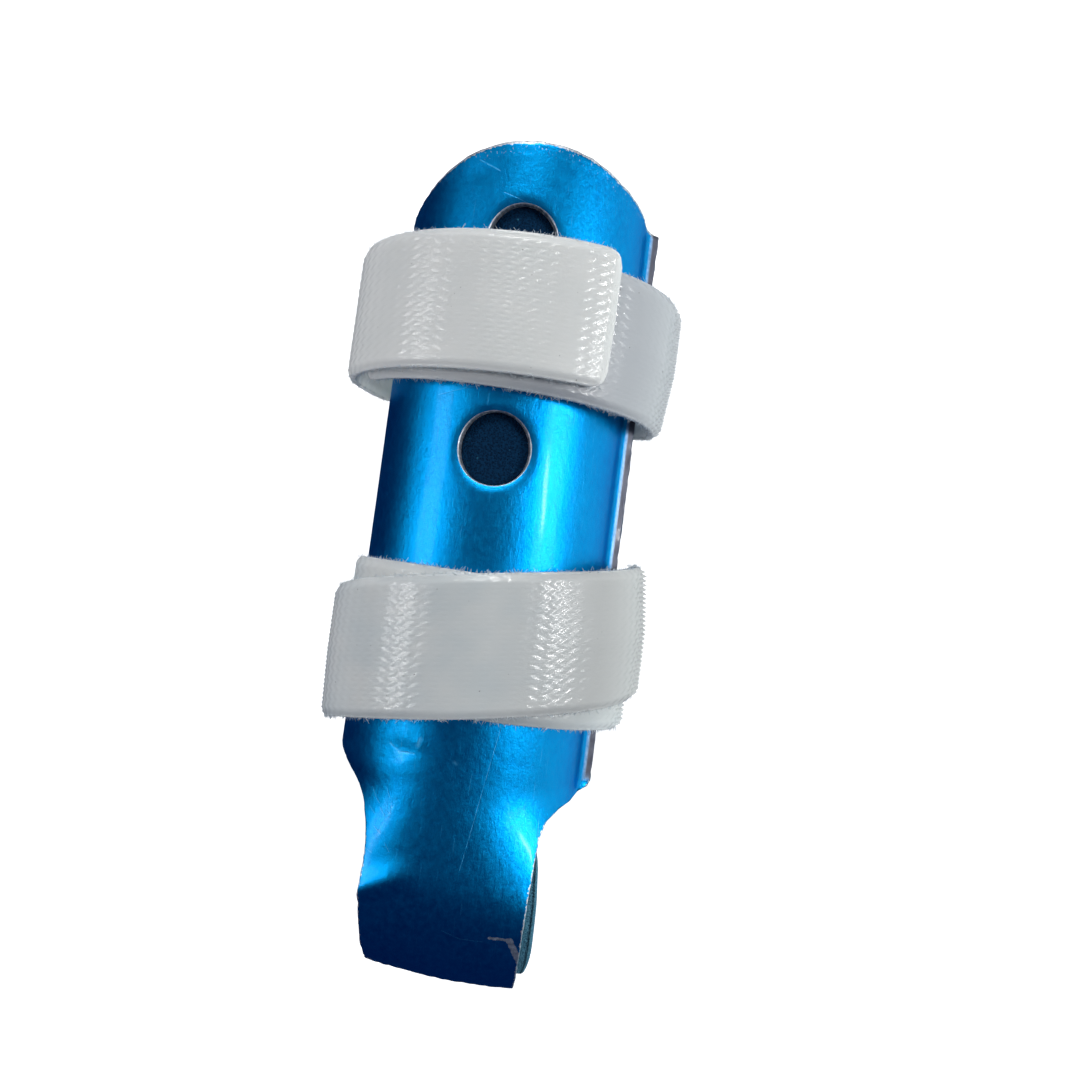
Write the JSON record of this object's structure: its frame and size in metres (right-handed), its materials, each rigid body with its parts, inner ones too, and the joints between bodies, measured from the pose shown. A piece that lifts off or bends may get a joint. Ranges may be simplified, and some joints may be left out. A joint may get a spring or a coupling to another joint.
{
  "type": "finger splint",
  "caption": "Foam-lined aluminium gutter splint for a finger, with a rounded end, vent holes, a tongue that curls over the fingertip and hook-and-loop straps.",
  "frame": {"origin": "middle of the base, on the surface that the straps' flattened undersides lie on", "axes": "+Y along the gutter towards its rounded end, -Y towards the fingertip tongue, +Z up out of the gutter's back, +X to the right when seen from above with +Y up"},
  "size_m": [0.0334, 0.081, 0.0235],
  "materials": {
    "anodised_sheet": "glossy blue anodised sheet with fine scratches, bare along its sheared edges",
    "foam": "fine-celled teal foam",
    "tape": "translucent milky-white woven hook-and-loop tape"
  },
  "bodies": {
    "root": {"splint_shell": "anodised_sheet", "foam_liner": "foam", "upper_strap": "tape", "lower_strap": "tape"}
  },
  "joints": []
}
